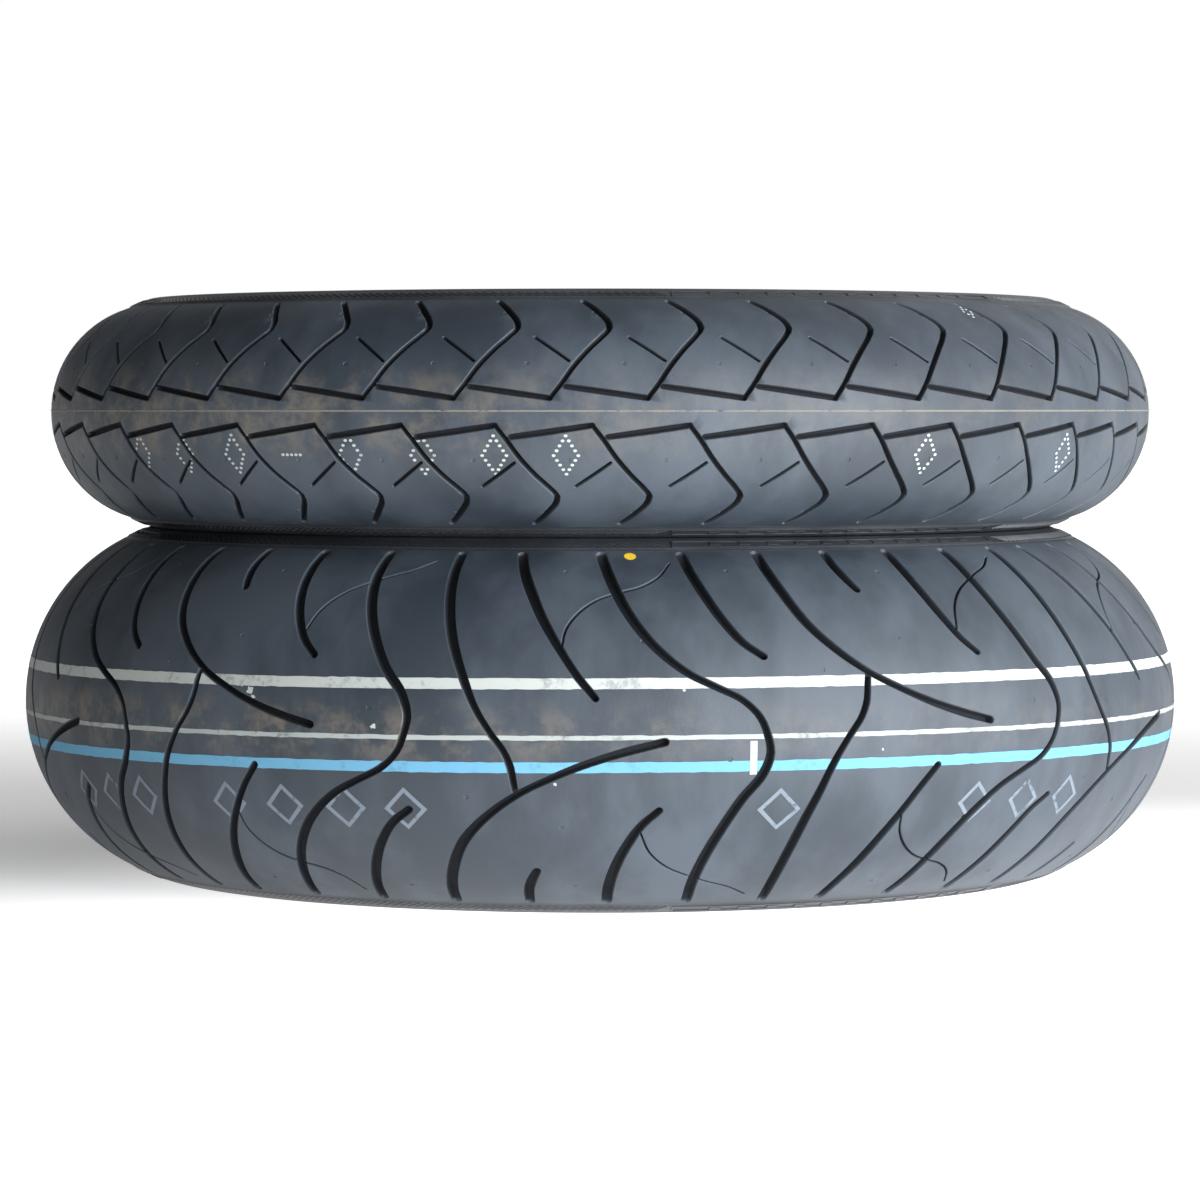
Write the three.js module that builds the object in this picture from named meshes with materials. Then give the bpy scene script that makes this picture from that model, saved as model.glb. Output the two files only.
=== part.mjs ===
// A pair of radial motorcycle tires for 17-inch rims, lying flat: the wide rear tire below and
// the narrow front tire resting on it. Millimetres, +Z up along the shared wheel axis, origin at
// the centre of the face that the rear tire lies on.
//
// Each tire is a nest of rings, in the order it is laid up on the building drum: inner liner,
// carcass ply, spiral belt, tread base and tread, and at each bead a core, a filler, a rim strip
// and a sidewall.
import * as THREE from "three";

// --- Driving dimensions ---------------------------------------------------------------------

const RING_SEGMENTS = 24; // flats around each ring
const LAYER_GAP = 0.3; // clearance between neighbouring layers, and between the two tires

const BEAD_SEAT_RADIUS = 218.3; // 17-inch rim
const HEEL_CHAMFER = 3.0;
const TOE_DROP = 0.8; // how far the toe dips below the bead seat

const BELT_THICKNESS = 1.2;
const PLY_THICKNESS = 2.0;
const LINER_THICKNESS = 1.2;

const CORE_WIDTH = 4.6; // bundle of bead wire
const CORE_HEIGHT = 7.0;

const RIM_STRIP_THICKNESS = 2.5; // on the bead's outer face
const RIM_STRIP_SOLE = 2.2; // under the bead
const RIM_STRIP_RISE = 2.0; // how far the strip and its joint line stand above the core
const CURL_THICKNESS = 3.0; // sidewall rubber where the sidewall curls in to the bead
const FILLER_CURL_WIDTH = 1.2; // filler's width where it passes the curl
const FILLER_REACH = 0.55; // filler's tip, as a share of the way from the curl to the flat

const REAR = {
  name: "rear", // 180/55 ZR 17
  sectionHeight: 96.2, // bead seat to crown
  treadWidth: 174.8,
  crownDrop: 54, // how far the tread's edges lie below the crown
  shoulderBulge: 6.1, // how far the widest point stands out past the tread's edge
  beadSpread: 154, // outside width over the two beads, off the rim
  treadThickness: 7.5,
  treadEdgeThickness: 4.5,
  baseThickness: 1.5,
  baseEdgeThickness: 0.9,
  sidewallThickness: 3.7,
};

const FRONT = {
  name: "front", // 120/70 ZR 17
  sectionHeight: 81.7,
  treadWidth: 112.6,
  crownDrop: 41,
  shoulderBulge: 5.5,
  beadSpread: 100,
  treadThickness: 6.5,
  treadEdgeThickness: 4.2,
  baseThickness: 1.5,
  baseEdgeThickness: 0.9,
  sidewallThickness: 3.4,
};

// The sidewall's widest point is a flat band, placed as shares of the way from the rim strip up
// to the tread's edge.
const FLAT_TOP_SHARE = 0.48;
const FLAT_END_SHARE = 0.2;

const SHOULDER_FULLNESS = 0.82; // 0 is a straight shoulder, 1 is a square one
const CURL_POSITION = 0.6; // where the curl's rib lies between the flat and the rim strip

// --- Sizes that follow ----------------------------------------------------------------------

const PLY_TOP = LINER_THICKNESS + LAYER_GAP + PLY_THICKNESS; // ply's outside above the inner skin
const ABOVE_PLY = PLY_TOP + LAYER_GAP;

const PLY_BOTTOM_RADIUS = BEAD_SEAT_RADIUS + RIM_STRIP_SOLE + LAYER_GAP; // ply under the core
const CORE_BOTTOM_RADIUS = PLY_BOTTOM_RADIUS + PLY_THICKNESS + LAYER_GAP;
const CORE_TOP_RADIUS = CORE_BOTTOM_RADIUS + CORE_HEIGHT;
const STRIP_TOP_RADIUS = CORE_TOP_RADIUS + RIM_STRIP_RISE;

// The bead's layers, as distances in from its outer face.
const TURN_UP_DEPTH = RIM_STRIP_THICKNESS + LAYER_GAP;
const CORE_DEPTH = TURN_UP_DEPTH + PLY_THICKNESS + LAYER_GAP;
const MAIN_PLY_DEPTH = CORE_DEPTH + CORE_WIDTH + LAYER_GAP;
const LINER_DEPTH = MAIN_PLY_DEPTH + PLY_THICKNESS + LAYER_GAP;
const BEAD_DEPTH = LINER_DEPTH + LINER_THICKNESS;

const halfWidth = (tire) => tire.treadWidth / 2 + tire.shoulderBulge;
const beadFace = (tire) => tire.beadSpread / 2;

// --- Cross-section --------------------------------------------------------------------------
// Points are (radius, height above the tire's centre plane), for the upper half of the section.
// A rib is a line through all the layers, from the outer skin to the inner skin.

const point = (radius, height) => new THREE.Vector2(radius, height);

const rib = (outer, inner) => ({ outer, inner, length: outer.distanceTo(inner) });

// The point on a rib at a distance below the outer skin.
const below = (r, depth) => r.outer.clone().lerp(r.inner, depth / r.length);

// The point on a rib at a distance above the inner skin.
const above = (r, height) => below(r, r.length - height);

const bend = (a, control, b, t) => new THREE.QuadraticBezierCurve(a, control, b).getPoint(t);

function crownRibs(tire) {
  const edgeHeight = tire.treadWidth / 2;
  const arcRadius = (edgeHeight ** 2 + tire.crownDrop ** 2) / (2 * tire.crownDrop);
  const edgeAngle = Math.atan2(edgeHeight, arcRadius - tire.crownDrop);
  const arcCentre = point(BEAD_SEAT_RADIUS + tire.sectionHeight - arcRadius, 0);
  const middleDepth =
    tire.treadThickness + tire.baseThickness + BELT_THICKNESS + 2 * LAYER_GAP + ABOVE_PLY;
  const edgeDepth = tire.treadEdgeThickness + tire.baseEdgeThickness + LAYER_GAP + ABOVE_PLY;

  const ribAt = (share, depth) => {
    const angle = edgeAngle * share;
    const normal = point(Math.cos(angle), Math.sin(angle));
    const outer = arcCentre.clone().addScaledVector(normal, arcRadius);
    return rib(outer, outer.clone().addScaledVector(normal, -depth));
  };
  return {
    middle: [0, 1 / 3, 2 / 3].map((share) => ribAt(share, middleDepth)),
    edge: ribAt(1, edgeDepth),
    alongEdge: point(-Math.sin(edgeAngle), Math.cos(edgeAngle)),
  };
}

function sectionRibs(tire) {
  const crown = crownRibs(tire);
  const { edge } = crown;
  const wallDepth = tire.sidewallThickness + ABOVE_PLY;
  const toTreadEdge = edge.outer.x - STRIP_TOP_RADIUS;
  const outside = halfWidth(tire);
  const inside = outside - wallDepth;

  const flatTop = rib(
    point(STRIP_TOP_RADIUS + FLAT_TOP_SHARE * toTreadEdge, outside),
    point(STRIP_TOP_RADIUS + FLAT_TOP_SHARE * toTreadEdge, inside),
  );
  const shoulderSkin = (from, to) => {
    const corner = point(THREE.MathUtils.lerp(from.x, to.x, SHOULDER_FULLNESS), to.y);
    return bend(from, corner, to, 0.5);
  };
  const shoulder = rib(
    shoulderSkin(edge.outer, flatTop.outer),
    shoulderSkin(edge.inner, flatTop.inner),
  );

  const flange = rib(
    point(STRIP_TOP_RADIUS, beadFace(tire)),
    point(STRIP_TOP_RADIUS, beadFace(tire) - BEAD_DEPTH),
  );
  const flatEndRadius = STRIP_TOP_RADIUS + FLAT_END_SHARE * toTreadEdge;
  const outerCorner = point(STRIP_TOP_RADIUS, outside);
  const innerCorner = point(flatEndRadius, inside);
  const innerSkin = (t) => bend(flatTop.inner, innerCorner, flange.inner, t);
  const flatEnd = rib(point(flatEndRadius, outside), innerSkin(0.25));
  const curl = rib(
    bend(flatEnd.outer, outerCorner, flange.outer, CURL_POSITION),
    innerSkin(0.25 + 0.75 * CURL_POSITION),
  );
  return { crown, shoulder, flatTop, flatEnd, curl, flange };
}

const allRibs = (section) => [
  ...section.crown.middle,
  section.crown.edge,
  section.shoulder,
  section.flatTop,
  section.flatEnd,
  section.curl,
  section.flange,
];

// The outer face of the ply's turn-up, from the rim strip up to its end beside the flat. The
// sidewall, the rim strip and the filler all fit against it.
function turnUpRibs(section) {
  const { flange, curl, flatEnd } = section;
  return [
    [flange, TURN_UP_DEPTH],
    [curl, CURL_THICKNESS + LAYER_GAP],
    [flatEnd, flatEnd.length - ABOVE_PLY - PLY_THICKNESS],
  ];
}

// --- Profiles -------------------------------------------------------------------------------

const mirrored = (points) => points.map((p) => point(p.x, -p.y));

// A closed profile that is the same above and below the centre plane, from its outer and inner
// skins listed from the centre line outwards.
function symmetricProfile(outerSkin, innerSkin) {
  const bothHalves = (skin) => [...mirrored(skin.slice(1)).reverse(), ...skin];
  return [...bothHalves(outerSkin), ...bothHalves(innerSkin).reverse()];
}

function treadProfile(tire, { crown }) {
  return symmetricProfile(
    [...crown.middle, crown.edge].map((r) => r.outer),
    [
      ...crown.middle.map((r) => below(r, tire.treadThickness)),
      below(crown.edge, tire.treadEdgeThickness),
    ],
  );
}

function treadBaseProfile(tire, { crown }) {
  const top = tire.treadThickness + LAYER_GAP;
  return symmetricProfile(
    [
      ...crown.middle.map((r) => below(r, top)),
      below(crown.edge, tire.treadEdgeThickness + LAYER_GAP),
    ],
    [
      ...crown.middle.map((r) => below(r, top + tire.baseThickness)),
      above(crown.edge, ABOVE_PLY),
    ],
  );
}

function beltProfile(tire, { crown }) {
  return symmetricProfile(
    crown.middle.map((r) => above(r, ABOVE_PLY + BELT_THICKNESS)),
    crown.middle.map((r) => above(r, ABOVE_PLY)),
  );
}

// The ply runs from bead to bead, turns under each core and comes up outside the filler.
function plyProfile(tire, section) {
  const face = beadFace(tire);
  const turnUp = turnUpRibs(section);
  return symmetricProfile(
    [
      ...allRibs(section).map((r) => above(r, PLY_TOP)),
      point(PLY_BOTTOM_RADIUS + PLY_THICKNESS, face - MAIN_PLY_DEPTH),
      point(PLY_BOTTOM_RADIUS + PLY_THICKNESS, face - TURN_UP_DEPTH - PLY_THICKNESS),
      ...turnUp.map(([r, depth]) => below(r, depth + PLY_THICKNESS)),
    ],
    [
      ...allRibs(section).map((r) => above(r, PLY_TOP - PLY_THICKNESS)),
      point(PLY_BOTTOM_RADIUS, face - MAIN_PLY_DEPTH - PLY_THICKNESS),
      point(PLY_BOTTOM_RADIUS, face - TURN_UP_DEPTH),
      ...turnUp.map(([r, depth]) => below(r, depth)),
    ],
  );
}

function linerProfile(tire, section) {
  const face = beadFace(tire);
  return symmetricProfile(
    [
      ...allRibs(section).map((r) => above(r, LINER_THICKNESS)),
      point(PLY_BOTTOM_RADIUS, face - LINER_DEPTH),
    ],
    [
      ...allRibs(section).map((r) => r.inner),
      point(PLY_BOTTOM_RADIUS, face - BEAD_DEPTH),
    ],
  );
}

// The bundle of bead wire that holds the tire on its rim.
function coreProfile(tire) {
  const outside = beadFace(tire) - CORE_DEPTH;
  return [
    point(CORE_BOTTOM_RADIUS, outside - CORE_WIDTH),
    point(CORE_BOTTOM_RADIUS, outside),
    point(CORE_TOP_RADIUS, outside),
    point(CORE_TOP_RADIUS, outside - CORE_WIDTH),
  ];
}

// The hard rubber wedge that stands on the core, between the ply and its turn-up.
function fillerProfile(tire, section) {
  const outside = beadFace(tire) - CORE_DEPTH;
  const bottom = CORE_TOP_RADIUS + LAYER_GAP;
  const turnUp = turnUpRibs(section);
  const outerSkin = turnUp.map(([r, depth]) => below(r, depth + PLY_THICKNESS + LAYER_GAP));
  const [besideStrip, , besideFlat] = outerSkin;
  const curlInner = above(section.curl, ABOVE_PLY);
  const curlOuter = above(section.curl, ABOVE_PLY + FILLER_CURL_WIDTH);
  return [
    point(bottom, outside - CORE_WIDTH),
    point(bottom, outside),
    besideStrip,
    curlOuter,
    curlOuter.clone().lerp(besideFlat, FILLER_REACH),
    curlInner,
    above(section.flange, ABOVE_PLY),
  ];
}

// The abrasion strip that touches the rim: under the bead and up its outer face.
function rimStripProfile(tire) {
  const face = beadFace(tire);
  const toe = face - BEAD_DEPTH;
  const top = STRIP_TOP_RADIUS - LAYER_GAP;
  const sole = BEAD_SEAT_RADIUS + RIM_STRIP_SOLE;
  return [
    point(top, face),
    point(BEAD_SEAT_RADIUS + HEEL_CHAMFER, face),
    point(BEAD_SEAT_RADIUS, face - HEEL_CHAMFER),
    point(BEAD_SEAT_RADIUS - TOE_DROP, toe),
    point(sole, toe),
    point(sole, face - RIM_STRIP_THICKNESS),
    point(top, face - RIM_STRIP_THICKNESS),
  ];
}

// The sidewall rubber, from the tread's edge to the rim strip.
function sidewallProfile(tire, section) {
  const { crown, shoulder, flatTop, flatEnd, curl, flange } = section;
  const clear = (p) => p.clone().addScaledVector(crown.alongEdge, LAYER_GAP);
  const besideTurnUp = turnUpRibs(section).map(([r, depth]) => below(r, depth - LAYER_GAP));
  return [
    clear(crown.edge.outer),
    shoulder.outer,
    flatTop.outer,
    flatEnd.outer,
    curl.outer,
    flange.outer,
    ...besideTurnUp,
    above(flatTop, ABOVE_PLY),
    above(shoulder, ABOVE_PLY),
    clear(above(crown.edge, ABOVE_PLY)),
  ];
}

// --- Materials ------------------------------------------------------------------------------

const rubber = (color, roughness) =>
  new THREE.MeshStandardMaterial({ color, roughness, metalness: 0 });

const steel = (color, roughness) =>
  new THREE.MeshStandardMaterial({ color, roughness, metalness: 0.85 });

const MATERIALS = {
  tread: rubber(0x3d434b, 0.55),
  treadBase: rubber(0x26282b, 0.6),
  sidewall: rubber(0x2b2f34, 0.6),
  rimStrip: rubber(0x202225, 0.6),
  filler: rubber(0x2a2725, 0.7),
  liner: rubber(0x1c1c1e, 0.5),
  ply: rubber(0x5b5348, 0.8),
  belt: steel(0x8a857c, 0.45),
  core: steel(0x8d7a55, 0.35),
};

// --- Assembly -------------------------------------------------------------------------------

// Revolves a closed profile into a named ring.
function ring(name, profile, material) {
  const loop = [...profile];
  if (THREE.ShapeUtils.area(loop) < 0) {
    loop.reverse();
  }
  loop.push(loop[0].clone());
  const mesh = new THREE.Mesh(new THREE.LatheGeometry(loop, RING_SEGMENTS), material);
  mesh.name = name;
  mesh.rotation.x = Math.PI / 2;
  return mesh;
}

function buildTire(tire) {
  const section = sectionRibs(tire);
  const group = new THREE.Group();

  const single = [
    ["tread", treadProfile, MATERIALS.tread],
    ["tread_base", treadBaseProfile, MATERIALS.treadBase],
    ["spiral_belt", beltProfile, MATERIALS.belt],
    ["carcass_ply", plyProfile, MATERIALS.ply],
    ["inner_liner", linerProfile, MATERIALS.liner],
  ];
  for (const [part, profile, material] of single) {
    group.add(ring(`${tire.name}_${part}`, profile(tire, section), material));
  }

  const paired = [
    ["sidewall", sidewallProfile, MATERIALS.sidewall],
    ["rim_strip", rimStripProfile, MATERIALS.rimStrip],
    ["bead_filler", fillerProfile, MATERIALS.filler],
    ["bead_core", coreProfile, MATERIALS.core],
  ];
  for (const [part, profile, material] of paired) {
    const upper = profile(tire, section);
    group.add(ring(`${tire.name}_${part}_upper`, upper, material));
    group.add(ring(`${tire.name}_${part}_lower`, mirrored(upper), material));
  }
  return group;
}

const pair = new THREE.Group();

const rearTire = buildTire(REAR);
rearTire.position.z = halfWidth(REAR);
pair.add(rearTire);

const frontTire = buildTire(FRONT);
frontTire.position.z = 2 * halfWidth(REAR) + LAYER_GAP + halfWidth(FRONT);
pair.add(frontTire);

export default pair;
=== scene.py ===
"""Looks for a pair of motorcycle tires lying flat, the front tire on the rear one.

Every ring of the CAD frame is replaced by a round, detailed ring of the same section. The treads
are cut with their real groove patterns. Lengths are metres, and the pattern tables are in degrees
round the tire and millimetres across the tread.
"""

import math

import bmesh
import bpy
import numpy as np
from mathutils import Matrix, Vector, geometry


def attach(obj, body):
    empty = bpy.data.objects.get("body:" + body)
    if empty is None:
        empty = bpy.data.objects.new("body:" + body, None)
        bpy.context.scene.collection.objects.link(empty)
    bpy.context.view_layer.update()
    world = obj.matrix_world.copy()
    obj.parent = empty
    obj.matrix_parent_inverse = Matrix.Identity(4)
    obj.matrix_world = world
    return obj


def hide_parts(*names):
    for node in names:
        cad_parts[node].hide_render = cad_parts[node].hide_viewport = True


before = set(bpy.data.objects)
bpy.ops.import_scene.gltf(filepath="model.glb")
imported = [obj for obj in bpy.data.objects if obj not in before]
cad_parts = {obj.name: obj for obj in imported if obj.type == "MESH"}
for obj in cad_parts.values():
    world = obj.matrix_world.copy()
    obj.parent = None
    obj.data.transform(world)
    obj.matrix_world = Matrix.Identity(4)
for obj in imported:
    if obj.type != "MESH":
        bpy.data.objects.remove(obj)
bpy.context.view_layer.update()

MM = 0.001
TIRES = ("rear", "front")
SIDES = {"upper": 1, "lower": -1}


# --- Camera ---

CAMERA_DISTANCE = 2.5
CAMERA_HEIGHT = 0.2519
CAMERA_PITCH = math.radians(2.43)
CAMERA_LENS = 136.1  # mm, on a sensor 36 mm wide


def add_camera():
    data = bpy.data.cameras.new("camera")
    data.lens = CAMERA_LENS
    data.sensor_width = 36
    camera = in_scene("camera", data)
    camera.location = (0, -CAMERA_DISTANCE, CAMERA_HEIGHT)
    camera.rotation_euler = (math.pi / 2 - CAMERA_PITCH, 0, 0)
    bpy.context.scene.camera = camera


# --- Small helpers ---


def in_scene(name, data):
    """A new object that holds the data, in the scene."""
    thing = bpy.data.objects.new(name, data)
    bpy.context.scene.collection.objects.link(thing)
    return thing


def new_object(name, vertices, faces, body, material, node=None):
    """Makes a mesh piece that rides on a body, and stands for a CAD node if one is named."""
    mesh = bpy.data.meshes.new(name)
    mesh.from_pydata([tuple(v) for v in vertices], [], [tuple(f) for f in faces])
    mesh.materials.append(material)
    piece = in_scene(name, mesh)
    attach(piece, body)
    if node:
        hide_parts(node)
    return piece


def shade(piece, sharp_degrees=30):
    """Closed meshes face out, and edges sharper than the angle stay crisp."""
    mesh = piece.data
    work = bmesh.new()
    work.from_mesh(mesh)
    bmesh.ops.recalc_face_normals(work, faces=work.faces)
    work.to_mesh(mesh)
    work.free()
    mesh.polygons.foreach_set("use_smooth", [True] * len(mesh.polygons))
    mesh.set_sharp_from_angle(angle=math.radians(sharp_degrees))


def hermite(a, b, slope_a, slope_b, t):
    t = t[:, None]
    return (
        (2 * t**3 - 3 * t**2 + 1) * a
        + (t**3 - 2 * t**2 + t) * slope_a
        + (3 * t**2 - 2 * t**3) * b
        + (t**3 - t**2) * slope_b
    )


def spline(points, step, keep_flats=False):
    """A smooth curve through the points. Lengths are measured on the first two columns."""
    points = np.asarray(points, float)
    if len(points) < 3:
        count = max(2, int(np.linalg.norm((points[1] - points[0])[:2]) / step) + 2)
        return points[0] + (points[1] - points[0]) * np.linspace(0, 1, count)[:, None]
    gaps = np.linalg.norm(np.diff(points[:, :2], axis=0), axis=1)
    rates = np.diff(points, axis=0) / gaps[:, None]
    inner = (rates[:-1] * gaps[1:, None] + rates[1:] * gaps[:-1, None]) / (
        gaps[:-1] + gaps[1:]
    )[:, None]
    slopes = np.vstack([rates[:1], inner, rates[-1:]])
    if keep_flats:
        for i in np.flatnonzero(np.abs(rates[:, 1]) < 1e-6):
            slopes[i] = slopes[i + 1] = rates[i]
    out = []
    for i, gap in enumerate(gaps):
        t = np.linspace(0, 1, max(1, round(gap / step)) + 1)[:-1]
        out.append(hermite(points[i], points[i + 1], slopes[i] * gap, slopes[i + 1] * gap, t))
    return np.vstack([*out, points[-1:]])


# --- Sections read from the frame ---


def section_outline(node):
    """The closed (radius, height) outline of a CAD ring, in order, from its cut at +X."""
    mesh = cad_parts[node].data
    places = {}
    for vertex in mesh.vertices:
        if abs(vertex.co.y) < 1e-6 and vertex.co.x > 0:
            places[vertex.index] = (round(vertex.co.x, 6), round(vertex.co.z, 6))
    neighbours = {place: set() for place in places.values()}
    for edge in mesh.edges:
        a, b = (places.get(i) for i in edge.vertices)
        if a and b and a != b:
            neighbours[a].add(b)
            neighbours[b].add(a)
    start = min(neighbours)
    loop = [start]
    following = min(neighbours[start])
    while following != start:
        loop.append(following)
        ahead = neighbours[following] - {loop[-2]}
        following = min(ahead)
    return np.array(loop)


def turning(outline):
    """The change of direction at each point of a closed outline, in radians."""
    before = outline - np.roll(outline, 1, axis=0)
    after = np.roll(outline, -1, axis=0) - outline
    cross = before[:, 0] * after[:, 1] - before[:, 1] * after[:, 0]
    return np.abs(np.arctan2(cross, (before * after).sum(axis=1)))


def smooth_outline(outline, step=2.5 * MM, corner_radius=0.6 * MM, corner_degrees=40):
    """Rounds a coarse outline: curves between its corners, and small radii at them."""
    corners = np.flatnonzero(turning(outline) > math.radians(corner_degrees))
    outline = np.roll(outline, -corners[0], axis=0)
    corners = [*(corners - corners[0]), len(outline)]
    ring = np.vstack([outline, outline[:1]])
    runs = [spline(ring[a : b + 1], step, keep_flats=True) for a, b in zip(corners, corners[1:])]
    out = []
    for before, after in zip([runs[-1], *runs[:-1]], runs):
        corner = after[0]
        pull_in = corner_pull(corner, before[-2], corner_radius)
        pull_out = corner_pull(corner, after[1], corner_radius)
        out.extend([pull_in, (pull_in + pull_out + 2 * corner) / 4, pull_out])
        out.extend(after[1:-1])
    return np.array(out)


def corner_pull(corner, towards, radius):
    step = towards - corner
    length = np.linalg.norm(step)
    return corner + step / length * min(radius, 0.45 * length)


# --- Tread patterns ---
# A groove is a list of (degrees round the tire, mm across the tread, mm wide). One side of the
# pattern is listed. The other side is its mirror image, shifted round the tire.

EDGE = 1000  # stands for the tread's edge, in the mm column

REAR_GROOVES = {
    "long S": [
        (0.1, EDGE, 5.8), (0.6, 93, 5.8), (1.3, 80, 5.7), (2.7, 62, 5.2), (5, 44, 4.5),
        (8, 30, 3.7), (10.3, 23.5, 3.3), (12.8, 16.5, 3.2), (14.3, 8, 3.3), (14.9, 0, 3.4),
        (15.2, -9, 3.9), (14.6, -19, 4.4), (12.8, -32, 4.7), (11.2, -48, 5.1),
        (9.9, -66, 5.5), (9.2, -84, 5.8), (9.1, -EDGE, 5.8),
    ],
    "main": [
        (17.1, EDGE, 6.1), (17.3, 93, 6.1), (18.1, 76, 5.8), (19.8, 56, 5.1),
        (22.3, 41, 4.2), (25.3, 29, 3.4), (28.2, 21, 3.3), (31.5, 13.5, 3.6),
        (35, 7.5, 4.1), (38.2, 3.2, 3.9),
    ],
    "branch": [
        (25.0, 29, 2.8), (24.8, 23, 3.1), (24.6, 16, 3.3), (24, 8, 3.2), (22.8, -1, 3.1),
        (21.4, -13, 3.4), (20.1, -29, 4.1), (18.9, -46, 4.8), (18, -65, 5.3),
        (17.5, -84, 5.5), (17.4, -EDGE, 5.6),
    ],
    "long": [
        (-8.4, EDGE, 5.7), (-7.8, 91, 5.6), (-6.7, 75, 5.4), (-5.2, 57, 4.7),
        (-3.6, 42, 4.0), (-1.9, 28, 3.6), (-0.4, 18, 3.3),
    ],
    "medium": [
        (8.7, EDGE, 5.7), (9.1, 92, 5.6), (10.1, 75, 5.4), (11.6, 58, 4.8),
        (13.2, 46, 4.2), (15, 38.5, 3.7),
    ],
    "second medium": [
        (33.2, EDGE, 6.0), (33.3, 92, 5.9), (33.8, 76, 5.5), (35, 58, 4.9),
        (36.3, 46, 4.2), (37.8, 38, 3.6),
    ],
    "short": [(25.1, EDGE, 5.5), (25.3, 92, 5.4), (25.8, 83, 5.0), (26.4, 76, 4.2)],
}

REAR_SIPES = {
    "first": [
        (-3.5, 43, 1.0), (-3.2, 53, 1.2), (-2, 63, 1.3), (-0.3, 70.5, 1.3), (1.7, 75, 1.3),
        (4, 79, 1.3), (5.9, 86, 1.2), (7.3, 97, 1.0),
    ],
    "second": [
        (36.2, 51, 1.0), (37.1, 63, 1.2), (38.8, 73, 1.3), (41, 80, 1.3),
        (43.2, 85.5, 1.3), (45.5, 90.5, 1.2), (47.6, 98, 1.0),
    ],
}

REAR_VENTS = [(29, 47), (20.5, 31), (3.9, 47), (44, 12), (-3.5, 90), (13, 90), (30, 88)]

FRONT_GROOVES = {
    "step": [(-4.2, 13.3, 2.9), (-0.6, 10.6, 3.2), (3.4, 7.5, 2.9)],
    "chevron": [
        (3.4, 7.5, 2.4), (4.4, 14.5, 2.5), (5.6, 24, 2.7), (7.1, 34, 2.8), (8.4, 42, 3.0),
        (8.95, 46.6, 3.2), (8.85, 50, 3.3), (7.9, 58.5, 3.4), (6.2, EDGE, 3.3),
    ],
}

FRONT_SIPES = {"slash": [(-7.2, 40, 1.7), (-5.6, 33.5, 1.8), (-3.9, 26.5, 1.5)]}

FRONT_VENTS = [(1.2, 25), (-1.6, 58)]

PATTERNS = {
    "rear": {
        "grooves": REAR_GROOVES,
        "sipes": REAR_SIPES,
        "vents": REAR_VENTS,
        "listed_pitch": 65.0,  # degrees that the lists above span where the pitch is longest
        "repeats": 6,
        "mirror_shift": 0.5,  # of a pitch
        "mirror_centre": 0.0,  # mm across the tread
        "start": 0.0,  # degrees from the camera's side to the first repeat
        "variation": (0.091, -0.013),  # how much the pitch grows and shrinks round the tire
        "groove_depth": 5.0,
        "sipe_depth": 2.0,
        "grid": 5.5,
        "line_bow": 2.6,  # mm, how far the painted lines sink at the tire's sides
        "line_lean": 1.2,  # mm, how far they rise to the right
    },
    "front": {
        "grooves": FRONT_GROOVES,
        "sipes": FRONT_SIPES,
        "vents": FRONT_VENTS,
        "listed_pitch": 9.0,
        "repeats": 40,
        "mirror_shift": 0.433,
        "mirror_centre": 0.8,
        "start": 1.0,
        "variation": (0.014, 0.0),
        "groove_depth": 4.2,
        "sipe_depth": 2.6,
        "grid": 5.0,
    },
}

LIP = 0.3  # mm, the small bevel along each groove's edges
WALL_RUN = 0.8  # mm, how far a groove's wall leans in towards its floor
EDGE_MARGIN = 3.4  # mm, where the grooves end short of the tread's edge
EDGE_FADE = 9.0  # mm, over which they grow shallower towards it
CURVE_STEP = 3.0  # mm between points along a groove
VENT_WIDTH = 2.0
VENT_DEPTH = 0.8
NARROWEST = 0.12  # mm, half the least width of a groove's floor
SAME_PLACE = 0.012  # mm, points closer than this are one
GROOVE_REACH = 12  # mm, farther along than any groove's width and bevel reach
GROOVE_CLEARANCE = 1.6  # mm kept free between a groove and the points of the plain tread


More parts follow.
